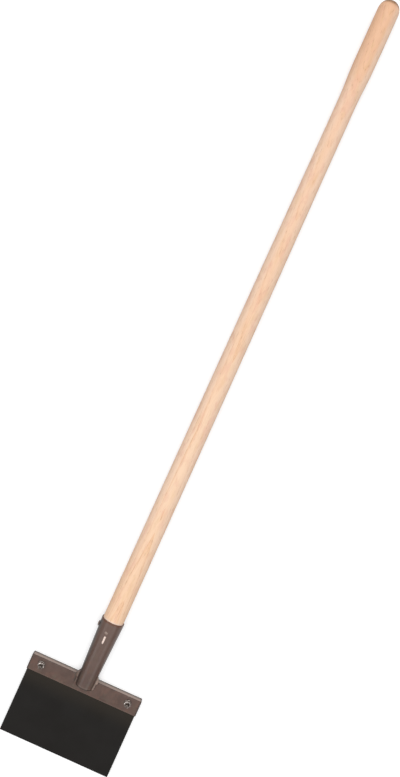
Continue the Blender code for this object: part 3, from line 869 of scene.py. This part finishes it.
def angle_marks(tree, place):
    """Marks on the angle's enamel: a painted highlight on the flange next to its front corner and
    painted shade behind it, a painted highlight on the lower corner of the leg, thick dark paint at
    both ends, and painted shade round the foot of the socket."""
    parts = add(tree, "SeparateXYZ", {"Vector": place}).outputs
    below = add(tree, "Math", {"Value": parts["Y"], "Value_001": -FLANGE_Y}).outputs[0]
    level = {"Value": below, "Value_001": 0.0, "Value_002": 0.2 * MM}
    on_top = add(tree, "Math", level, operation="COMPARE").outputs[0]
    aside = add(tree, "Math", {"Value": parts["X"]}, operation="ABSOLUTE").outputs[0]
    toe, end_x = holder_low.y, holder_high.x
    masks = []
    # The first three zones paint light and shade: a highlight by the flange's front corner, shade
    # low on the flange's back near the floor, and a highlight on the leg's lower corner
    for value, start, end, most in (
        (parts["Z"], LEG_Z - 0.3 * MM, LEG_Z - 2.4 * MM, 1.0),
        (parts["Z"], 7.4 * MM, 3.2 * MM, 0.6),
        (parts["Y"], toe + 2.4 * MM, toe + 0.6 * MM, 0.6),
        (aside, end_x - 3 * MM, end_x - MM, 0.75),
    ):
        zone = {"Value": value, "From Min": start, "From Max": end, "To Max": most}
        masks.append(add(tree, "MapRange", zone, interpolation_type="SMOOTHSTEP").outputs[0])
    near_front, painted_floor_shade, painted_corner_highlight, at_end = masks
    # A painted highlight on the top of the flange next to its front corner
    edge_ramp = {"Value": on_top, "Value_001": near_front}
    edge_ramp = add(tree, "Math", edge_ramp, operation="MULTIPLY").outputs[0]
    # The painted shade fades with the distance from a box round the foot of the socket and its
    # weld, which stands 1.2 mm to the left
    left = add(tree, "VectorMath", {"Vector": place, "Vector_001": (1.2 * MM, 0, 0)}).outputs[0]
    spread = add(tree, "VectorMath", {"Vector": left}, operation="ABSOLUTE").outputs[0]
    past = {"Vector": spread, "Vector_001": (-17.2 * MM, FOOT_Y, 0)}
    past = add(tree, "VectorMath", past, operation="ADD").outputs[0]
    flat = {"Vector": past, "Vector_001": (1, 1, 0)}
    flat = add(tree, "VectorMath", flat, operation="MULTIPLY").outputs[0]
    away = {"Vector": flat, "Vector_001": (0, 0, 0)}
    away = add(tree, "VectorMath", away, operation="MAXIMUM").outputs[0]
    distance = add(tree, "VectorMath", {"Vector": away}, operation="LENGTH").outputs["Value"]
    near = {"Value": distance, "From Min": 2.0 * MM, "From Max": 0.7 * MM, "To Max": 0.75}
    painted_shade_round_foot = add(tree, "MapRange", near, interpolation_type="SMOOTHSTEP").outputs[0]
    return (
        (painted_shade_round_foot, "#2E221B"),
        (edge_ramp, "#C6AC9E"),
        (painted_corner_highlight, "#745F55"),
        (painted_floor_shade, "#3A2B24"),
        (at_end, "#2A1F19"),
    )


def weld_marks(tree, place):
    """Marks on the enamel over the weld: a painted highlight on the right and on the dab, and
    painted shade at the toe.
    """
    parts = add(tree, "SeparateXYZ", {"Vector": place}).outputs
    # Painted light and shade: paler on the right and on the dab, darker at the toe
    right = {"Value": parts["X"], "From Min": -6 * MM, "From Max": 6 * MM}
    painted_right_highlight = add(tree, "MapRange", right).outputs[0]
    front = {"Value": parts["Z"], "From Min": AXIS_Z + 8 * MM, "From Max": AXIS_Z + 11 * MM}
    painted_dab_highlight = add(tree, "MapRange", front).outputs[0]
    toe = {"Value": parts["Z"], "From Min": LEG_Z + 1.3 * MM, "From Max": LEG_Z + 0.4 * MM}
    toe["To Max"] = 0.8
    painted_toe_shade = add(tree, "MapRange", toe, interpolation_type="SMOOTHSTEP").outputs[0]
    return (painted_right_highlight, "#A38C80"), (painted_dab_highlight, "#8F796E"), (painted_toe_shade, "#2A1F19")


def brown_enamel(name, first, second, gloss, marks):
    """Alkyd enamel, sprayed brown over mill scale and baked: satin, with a slight orange peel.

    The scale shows through in faint red and olive clouds. The marks are the masks and colours of
    the piece's own wear and dirt, and of the light and shade painted on it."""
    material, tree, shader, place = new_material(name)
    clouds = patches(tree, place, (14, 22, 14), detail=4)
    # Corners are painted dark as painted shade, by how little of the sky they see
    open_sky = add(tree, "AmbientOcclusion", {"Distance": 4 * MM}, samples=8).outputs["AO"]
    corner = {"Value": open_sky, "From Min": 0.90, "From Max": 0.50, "To Max": 0.85}
    painted_corner_shade = add(tree, "MapRange", corner, interpolation_type="SMOOTHSTEP").outputs[0]
    paint = coat(
        tree,
        colour(first),
        (clouds, second),
        (patches(tree, place, (7, 12, 9), 0.50, 0.68, 0.40), "#6E4A3C"),
        (patches(tree, place, (9, 11, 7), 0.52, 0.70, 0.40), "#5C5040"),
        *marks(tree, place),
        (painted_corner_shade, "#2A1F19"),
        (patches(tree, place, (1.6, 1.6, 1.6), 0.62, 0.72, 0.35, detail=2), "#4A3831"),
    )
    tree.links.new(paint, shader.inputs["Base Color"])
    shader.inputs["IOR"].default_value = 1.5
    gloss_range = {"Value": clouds, "To Min": gloss - 0.04, "To Max": gloss + 0.04}
    tree.links.new(add(tree, "MapRange", gloss_range).outputs[0], shader.inputs["Roughness"])
    scale = patches(tree, place, (6, 6, 6), 0.2, 0.8, detail=5)
    under = add(tree, "Bump", {"Height": scale, "Strength": 0.35, "Distance": 0.2 * MM})
    peel = patches(tree, place, (1.1, 1.1, 1.1), 0.2, 0.8, detail=1)
    skin = {"Height": peel, "Strength": 0.25, "Distance": 0.06 * MM, "Normal": under.outputs[0]}
    tree.links.new(add(tree, "Bump", skin).outputs[0], shader.inputs["Normal"])
    return material


def black_spring_steel():
    """Spring steel strip, hardened and blackened in oil: near black and matt, with fine rolling
    lines across the blade and the cloudy patches that the oil leaves."""
    material, tree, shader, place = new_material("blackened_spring_steel")
    clouds = patches(tree, place, (35, 30, 30), detail=5)
    # Rolling lines of 0.1 mm are drawn 0.9 mm wide, so that they show
    lines = patches(tree, place, (120, 0.9, 120), 0.35, 0.75, detail=2)
    faint_lines = {"Value": lines, "Value_001": 0.25}
    faint_lines = add(tree, "Math", faint_lines, operation="MULTIPLY").outputs[0]
    # Towards its lower edge it is darker, nearly black
    height = add(tree, "SeparateXYZ", {"Vector": place}).outputs["Y"]
    top = blade_high.y
    edge_ramp = {"Value": height, "From Min": top - 15 * MM, "From Max": top - 62 * MM}
    edge_ramp = add(tree, "MapRange", edge_ramp, interpolation_type="SMOOTHERSTEP").outputs[0]
    steel = coat(
        tree,
        colour("#211A10"),
        (clouds, "#251E14"),
        (faint_lines, "#2E2A24"),
        (patches(tree, place, (1.3, 1.3, 1.3), 0.66, 0.75, 0.4, detail=2), "#352F29"),
        (patches(tree, place, (9, 9, 9), 0.55, 0.72, 0.5), "#2A211D"),
        (edge_ramp, "#0F0B07"),
    )
    tree.links.new(steel, shader.inputs["Base Color"])
    # The black coat drinks the oil, and shines less than paint does
    shader.inputs["Specular IOR Level"].default_value = 0.21
    gloss = {"Value": clouds, "To Min": 0.50, "To Max": 0.62}
    tree.links.new(add(tree, "MapRange", gloss).outputs[0], shader.inputs["Roughness"])
    relief = add(tree, "Bump", {"Height": lines, "Strength": 0.2, "Distance": 0.05 * MM})
    tree.links.new(relief.outputs[0], shader.inputs["Normal"])
    return material


def zinc_plated_steel():
    """Zinc plated steel, dulled by handling: a grey metal with a slightly cloudy gloss."""
    material, tree, shader, place = new_material("dulled_zinc_plate")
    clouds = patches(tree, place, (3, 3, 3), detail=4)
    # What faces up is painted dark, as a painted reflection; the turned chamfers keep the bright
    # metal
    normal = add(tree, "TexCoord").outputs["Normal"]
    facing = add(tree, "SeparateXYZ", {"Vector": normal}).outputs["Z"]
    flat = {"Value": facing, "From Min": 0.93, "From Max": 0.985, "To Max": 0.9}
    painted_dark_reflection = add(tree, "MapRange", flat, interpolation_type="SMOOTHSTEP").outputs[0]
    # The threads above the nuts are painted dark as painted shade, up to the chamfer of the tip
    height = add(tree, "SeparateXYZ", {"Vector": place}).outputs["Z"]
    nut_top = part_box("nut_right")[1].z
    tip = bolt_high.z
    above = {"Value": height, "From Min": nut_top - 0.2 * MM, "From Max": nut_top + 0.4 * MM}
    above = add(tree, "MapRange", above).outputs[0]
    below = {"Value": height, "From Min": tip - 0.6 * MM, "From Max": tip - 0.9 * MM}
    below = add(tree, "MapRange", below).outputs[0]
    painted_thread_shade = {"Value": above, "Value_001": below}
    painted_thread_shade = add(tree, "Math", painted_thread_shade, operation="MULTIPLY").outputs[0]
    metal = coat(
        tree,
        colour("#BDB3AD"),
        (clouds, "#D2C9C3"),
        (painted_thread_shade, "#4F443C"),
        (painted_dark_reflection, "#4C4039"),
    )
    tree.links.new(metal, shader.inputs["Base Color"])
    shader.inputs["Metallic"].default_value = 1
    gloss = {"Value": clouds, "To Min": 0.20, "To Max": 0.28}
    tree.links.new(add(tree, "MapRange", gloss).outputs[0], shader.inputs["Roughness"])
    # Grit of 0.1 mm is drawn 0.4 mm wide, so that it shows
    grain = patches(tree, place, (0.4, 0.4, 0.4), 0.2, 0.8, detail=2)
    relief = add(tree, "Bump", {"Height": grain, "Strength": 0.15, "Distance": 0.03 * MM})
    tree.links.new(relief.outputs[0], shader.inputs["Normal"])
    return material


wood = ash_wood()
socket_enamel = brown_enamel("brown_enamel_on_socket", "#544039", "#5D4840", 0.32, socket_marks)
angle_enamel = brown_enamel("brown_enamel_on_angle", "#4E372D", "#573E33", 0.32, angle_marks)
# Over weld metal and the screw the enamel is thin and smooth, so it is glossier there; its paler
# colour is painted light on the weld, the dab and the screw
thin_enamel_painted_paler = brown_enamel("thin_brown_enamel", "#6E5A50", "#806B61", 0.28, weld_marks)
black_steel = black_spring_steel()
zinc = zinc_plated_steel()

handle = placed(turned(handle_profile(), HANDLE_STEPS), ON_AXIS)
add_piece("ash_handle", mesh_of(handle, "handle", 50), wood, "handle")

screw_way = turned(
    [
        (0, -SCREW_LENGTH),
        (SCREW_RADIUS + FIT_GAP, -SCREW_LENGTH),
        (SCREW_RADIUS + FIT_GAP, SCREW_HEAD_HEIGHT),
        (0, SCREW_HEAD_HEIGHT),
    ],
    HARDWARE_STEPS // 2,
)
socket = combined(socket_shape(), [("DIFFERENCE", placed(screw_way, screw_place()))])
socket = mesh_of(placed(socket, ON_AXIS), "socket", 40)
add_piece("rolled_socket", socket, socket_enamel, "socket", True)
weld = placed(weld_shape(), ON_AXIS)
add_piece("weld_bead", mesh_of(weld, "weld", 60), thin_enamel_painted_paler, "socket_weld")
dab = placed(dab_shape(), ON_AXIS)
add_piece("weld_dab", mesh_of(dab, "dab"), thin_enamel_painted_paler)
screw = placed(screw_shape(), ON_AXIS @ screw_place())
add_piece("dome_head_screw", mesh_of(screw, "screw"), thin_enamel_painted_paler, "handle_screw")

angle = mesh_of(combined(angle_shape(), bolt_ways()), "angle")
add_piece("rolled_angle", angle, angle_enamel, "blade_holder", True)
blade = mesh_of(combined(blade_shape(), bolt_ways()), "blade")
add_piece("spring_blade", blade, black_steel, "blade", True)

for side, sign in (("left", -1), ("right", 1)):
    for kind, shape, sharp in (
        ("bolt", bolt_shape, 25),
        ("washer", washer_shape, 35),
        ("nut", nut_shape, 25),
    ):
        node = f"{kind}_{side}"
        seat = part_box(node)[0].z + (HEAD_HEIGHT if kind == "bolt" else 0)
        made = placed(shape(), Matrix.Translation((sign * BOLT_X, BOLT_Y, seat)))
        made = mesh_of(made, kind, sharp)
        add_piece(f"zinc_{node}", made, zinc, node, kind != "washer")

# Studio: a white floor, a pale dome, a soft key light overhead, a strip light on either side, which
# gives the socket its two bright lines, and a small box on the left for the glint on the nuts
FLOOR_RADIUS = 4.0
FLOOR_GLOW = 0.50
FLOOR_SHINE = 0.20
BACKDROP_SHINE = 0.12
DOME_TOP = 0.68
DOME_EDGE = 0.10
KEY_FROM = Vector((-0.02, 0.12, 1.0))
KEY_STRENGTH = 1.34
KEY_ANGLE = math.radians(50)
STRIP_SIZE = (0.34, 0.9)
STRIP_PLACE = Vector((1.10, -1.27, 1.10))
STRIP_AIM = Vector((0, FLANGE_Y + 0.05, LEG_Z))
STRIP_WATTS = 1.8
GLINT_SIZE = 0.5
GLINT_PLACE = Vector((-0.93, -0.28, 0.83))
GLINT_AIM = Vector((0, BOLT_Y, LEG_Z))
GLINT_WATTS = 2.6

# The camera of the photograph, straight above
CAMERA_LENS = 32.698
CAMERA_PLACE = (-0.0277, -0.0299, 1.2100)
CAMERA_TURN = math.radians(24.299)


def shown(tree, straight_share, gloss_share):
    """How strongly the white ground shows: to the camera and through glass, and in reflections."""
    rays = add(tree, "LightPath").outputs
    straight = {"Value": rays["Is Camera Ray"], "Value_001": rays["Is Transmission Ray"]}
    straight = add(tree, "Math", straight, operation="MAXIMUM").outputs[0]
    shine = {"Value": rays["Is Glossy Ray"], "Value_001": gloss_share}
    shine = add(tree, "Math", shine, operation="MULTIPLY").outputs[0]
    both = {"Value": straight, "Value_001": straight_share, "Value_002": shine}
    return add(tree, "Math", both, operation="MULTIPLY_ADD").outputs[0]


floor_shape = bmesh.new()
bmesh.ops.create_circle(floor_shape, cap_ends=True, radius=FLOOR_RADIUS, segments=96)
floor_mesh = bpy.data.meshes.new("floor")
floor_shape.to_mesh(floor_mesh)
floor_shape.free()
floor = bpy.data.objects.new("floor", floor_mesh)
bpy.context.scene.collection.objects.link(floor)
floor_paper = bpy.data.materials.new("white_paper_floor")
floor_paper.use_nodes = True
tree = floor_paper.node_tree
paper = tree.nodes["Principled BSDF"]
paper.inputs["Base Color"].default_value = colour("#CECECE")
paper.inputs["Roughness"].default_value = 0.9
paper.inputs["Specular IOR Level"].default_value = 0
strength = shown(tree, FLOOR_GLOW, FLOOR_SHINE)
glow = add(tree, "Emission", {"Color": (1, 1, 1, 1), "Strength": strength})
lit = add(tree, "AddShader", {"Shader": paper.outputs[0], "Shader_001": glow.outputs[0]})
tree.links.new(lit.outputs[0], tree.nodes["Material Output"].inputs["Surface"])
floor_mesh.materials.append(floor_paper)

world = bpy.data.worlds.new("studio")
bpy.context.scene.world = world
world.use_nodes = True
tree = world.node_tree
dome = tree.nodes["Background"]
direction = add(tree, "TexCoord").outputs["Generated"]
height = add(tree, "SeparateXYZ", {"Vector": direction}).outputs["Z"]
rise = {"Value": height, "From Min": 0, "From Max": 0.9, "To Min": DOME_EDGE, "To Max": DOME_TOP}
level = add(tree, "MapRange", rise, interpolation_type="SMOOTHSTEP").outputs[0]
dome.inputs["Color"].default_value = (1, 1, 1, 1)
tree.links.new(level, dome.inputs["Strength"])
backdrop = add(tree, "Background", {"Color": (1, 1, 1, 1), "Strength": 1.0})
share = shown(tree, 1, BACKDROP_SHINE)
sockets = {"Fac": share, "Shader": dome.outputs[0], "Shader_001": backdrop.outputs[0]}
both = add(tree, "MixShader", sockets)
tree.links.new(both.outputs[0], tree.nodes["World Output"].inputs["Surface"])

key = bpy.data.lights.new("key", "SUN")
key.energy = KEY_STRENGTH
key.angle = KEY_ANGLE
key_light = bpy.data.objects.new("key", key)
key_light.rotation_euler = KEY_FROM.to_track_quat("Z", "Y").to_euler()
bpy.context.scene.collection.objects.link(key_light)
for side, sign in (("left", -1), ("right", 1)):
    light = bpy.data.lights.new(f"strip_{side}", "AREA")
    light.shape = "RECTANGLE"
    light.size, light.size_y = STRIP_SIZE
    light.energy = STRIP_WATTS
    strip = bpy.data.objects.new(light.name, light)
    strip.location = (sign * STRIP_PLACE.x, STRIP_PLACE.y, STRIP_PLACE.z)
    strip.rotation_euler = (strip.location - STRIP_AIM).to_track_quat("Z", "Y").to_euler()
    strip.visible_camera = False
    bpy.context.scene.collection.objects.link(strip)

glint = bpy.data.lights.new("glint", "AREA")
glint.shape = "SQUARE"
glint.size = GLINT_SIZE
glint.energy = GLINT_WATTS
glint_box = bpy.data.objects.new("glint", glint)
glint_box.location = GLINT_PLACE
glint_box.rotation_euler = (GLINT_PLACE - GLINT_AIM).to_track_quat("Z", "Y").to_euler()
glint_box.visible_camera = False
glint_box.visible_diffuse = False
bpy.context.scene.collection.objects.link(glint_box)

view = bpy.data.cameras.new("camera")
view.sensor_width = 36
view.lens = CAMERA_LENS
camera = bpy.data.objects.new("camera", view)
camera.location = CAMERA_PLACE
camera.rotation_euler = (0, 0, CAMERA_TURN)
bpy.context.scene.collection.objects.link(camera)
bpy.context.scene.camera = camera
bpy.context.scene.view_settings.view_transform = "Standard"

bpy.context.view_layer.update()
